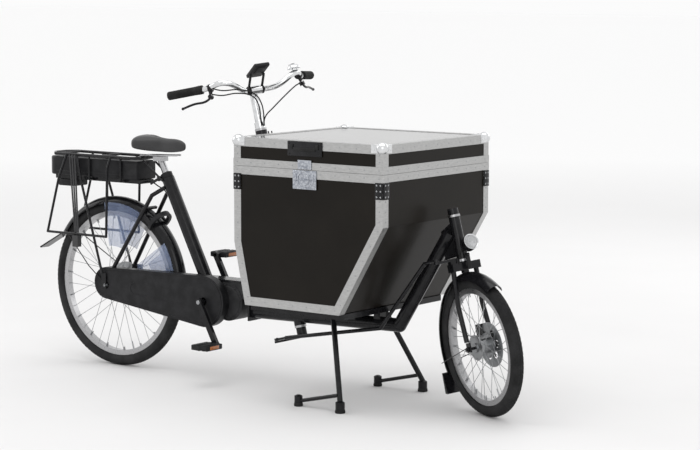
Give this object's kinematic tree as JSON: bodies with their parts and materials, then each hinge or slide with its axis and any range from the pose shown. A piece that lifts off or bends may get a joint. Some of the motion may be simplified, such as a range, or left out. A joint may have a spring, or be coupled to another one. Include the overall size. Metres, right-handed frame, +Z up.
{
  "type": "cargo bicycle",
  "caption": "Long two-wheeled electric cargo bicycle with a lidded flight-case box ahead of the rider, rod steering, rack battery and centre stand.",
  "frame": {"origin": "on the ground, midway along the length and on the frame's middle plane", "axes": "+X forward, +Y to the rider's left, +Z up"},
  "size_m": [2.3566, 0.6808, 1.2209],
  "materials": {
    "frame_black": "gloss",
    "box_laminate": "satin",
    "aluminium_edge": "brushed",
    "chrome": "polished",
    "silver": "satin",
    "steel": "satin",
    "tyre_rubber": "matte",
    "black_rubber": "matte",
    "black_plastic": "matte",
    "gloss_black": "gloss",
    "saddle_vinyl": "soft sheen",
    "guard_blue": "translucent",
    "strap": "woven",
    "light_red": "gloss"
  },
  "bodies": {
    "frame": {"seat_tube": "frame_black", "main_tube": "frame_black", "front_tube": "frame_black", "column_tube": "frame_black", "chain_stays": "frame_black", "seat_stays": "frame_black", "drive_motor": "black_plastic", "chain_case": "black_plastic", "chain": "steel", "rear_fender": "gloss_black", "skirt_guards": "guard_blue", "rack": "frame_black", "pannier_guards": "frame_black", "rear_light": "light_red", "bungee_straps": "strap", "ring_lock": "black_plastic", "seat_clamp": "black_plastic", "box_carrier": "frame_black", "box_panels": "box_laminate", "box_edges": "aluminium_edge", "box_fittings": "frame_black", "headset_cups": "silver", "rear_axle": "steel", "rear_caliper": "frame_black", "frame_cables": "black_rubber"},
    "battery_pack": {"battery": "black_plastic"},
    "seat": {"seat_post": "silver", "saddle": "saddle_vinyl"},
    "seat_lever": {"seat_clamp_lever": "black_plastic"},
    "lid": {"lid_panel": "box_laminate", "lid_edges": "aluminium_edge", "lid_fittings": "chrome"},
    "latch": {"latch_wing": "steel"},
    "steering": {"steering_shaft": "frame_black", "stem": "chrome", "handlebar": "chrome", "grips": "black_rubber", "bar_fittings": "black_plastic", "bar_cables": "black_rubber"},
    "left_brake_lever": {"brake_lever_left": "frame_black"},
    "right_brake_lever": {"brake_lever_right": "frame_black"},
    "bell_striker": {"bell_lever": "steel"},
    "button": {"display_button": "black_plastic"},
    "shifter": {"gear_shifter": "black_plastic"},
    "linkage": {"tie_rod": "frame_black"},
    "front_fork": {"fork": "frame_black", "front_fender": "gloss_black", "headlight": "gloss_black"},
    "front_wheel": {"front_tyre": "tyre_rubber", "front_rim": "silver", "front_spokes": "steel", "front_hub": "silver"},
    "rear_wheel": {"rear_tyre": "tyre_rubber", "rear_rim": "silver", "rear_spokes": "steel", "rear_hub": "silver"},
    "crank": {"crankset": "frame_black"},
    "left_pedal": {"pedal_left": "black_plastic"},
    "right_pedal": {"pedal_right": "black_plastic"},
    "stand": {"kickstand": "frame_black"}
  },
  "joints": [
    {"name": "steering_turn", "type": "hinge", "parent": "frame", "child": "steering", "pos_m": [-0.04485, 0, 0.965], "axis": [-0.2504, 0, 0.9681], "range_deg": [-14, 56]},
    {"name": "tie_rod_swing", "type": "hinge", "parent": "steering", "child": "linkage", "pos_m": [0.10533, -0.09437, 0.20047], "axis": [-0.2504, 0, 0.9681], "range_deg": [-56, 14]},
    {"name": "fork_turn", "type": "hinge", "parent": "frame", "child": "front_fork", "pos_m": [0.94244, 0, 0.24661], "axis": [-0.2504, 0, 0.9681], "range_deg": [-14, 56]},
    {"name": "front_wheel_spin", "type": "hinge", "parent": "front_fork", "child": "front_wheel", "pos_m": [0.95027, -0.00394, 0.24863], "axis": [0.4244, 0.8988, 0.1098], "continuous": true},
    {"name": "rear_wheel_spin", "type": "hinge", "parent": "frame", "child": "rear_wheel", "pos_m": [-0.76685, 0, 0.327], "axis": [0, 1, 0], "continuous": true},
    {"name": "crank_spin", "type": "hinge", "parent": "frame", "child": "crank", "pos_m": [-0.26685, 0, 0.306], "axis": [0, 1, 0], "continuous": true},
    {"name": "left_pedal_spin", "type": "hinge", "parent": "crank", "child": "left_pedal", "pos_m": [-0.34901, 0.11, 0.46052], "axis": [0, 1, 0], "continuous": true},
    {"name": "right_pedal_spin", "type": "hinge", "parent": "crank", "child": "right_pedal", "pos_m": [-0.18469, -0.11, 0.15148], "axis": [0, 1, 0], "continuous": true},
    {"name": "stand_swing", "type": "hinge", "parent": "frame", "child": "stand", "pos_m": [0.39315, 0, 0.328], "axis": [0, 1, 0], "range_deg": [0, 68]},
    {"name": "lid_open", "type": "hinge", "parent": "frame", "child": "lid", "pos_m": [0.42515, 0.334, 0.8625], "axis": [-1, 0, 0], "range_deg": [0, 100]},
    {"name": "latch_turn", "type": "hinge", "parent": "frame", "child": "latch", "pos_m": [0.41815, -0.331, 0.828], "axis": [0, 1, 0], "range_deg": [0, 180]},
    {"name": "seat_height", "type": "slide", "parent": "frame", "child": "seat", "axis": [-0.4557, 0, 0.8901], "range_m": [0, 0.12]},
    {"name": "seat_lever_open", "type": "hinge", "parent": "frame", "child": "seat_lever", "pos_m": [-0.53554, -0.02, 0.75467], "axis": [-0.4557, 0, 0.8901], "range_deg": [0, 95]},
    {"name": "battery_slide", "type": "slide", "parent": "frame", "child": "battery_pack", "axis": [-1, 0, 0], "range_m": [0, 0.5]},
    {"name": "left_brake_pull", "type": "hinge", "parent": "steering", "child": "left_brake_lever", "pos_m": [0.0301, 0.15444, 1.13314], "axis": [0.8171, 0.364, 0.4471], "range_deg": [0, 14], "stiffness_Nm_per_rad": 1.2},
    {"name": "right_brake_pull", "type": "hinge", "parent": "steering", "child": "right_brake_lever", "pos_m": [-0.13039, -0.18544, 1.09164], "axis": [0.2034, -0.9357, 0.2883], "range_deg": [-14, 0], "stiffness_Nm_per_rad": 1.2},
    {"name": "bell_strike", "type": "hinge", "parent": "steering", "child": "bell_striker", "pos_m": [0.03371, 0.09348, 1.2077], "axis": [-0.2504, 0, 0.9681], "range_deg": [0, 25], "stiffness_Nm_per_rad": 0.05},
    {"name": "display_press", "type": "slide", "parent": "steering", "child": "button", "axis": [0.4805, -0.1208, -0.8686], "range_m": [0, 0.0015], "stiffness_N_per_m": 400},
    {"name": "gear_twist", "type": "hinge", "parent": "steering", "child": "shifter", "pos_m": [-0.17499, -0.18755, 1.11626], "axis": [-0.9452, -0.2645, -0.1915], "range_deg": [-60, 60]}
  ],
  "couplings": [
    {"joint": "fork_turn", "follows": "steering_turn", "ratio": 1},
    {"joint": "tie_rod_swing", "follows": "steering_turn", "ratio": -1}
  ]
}
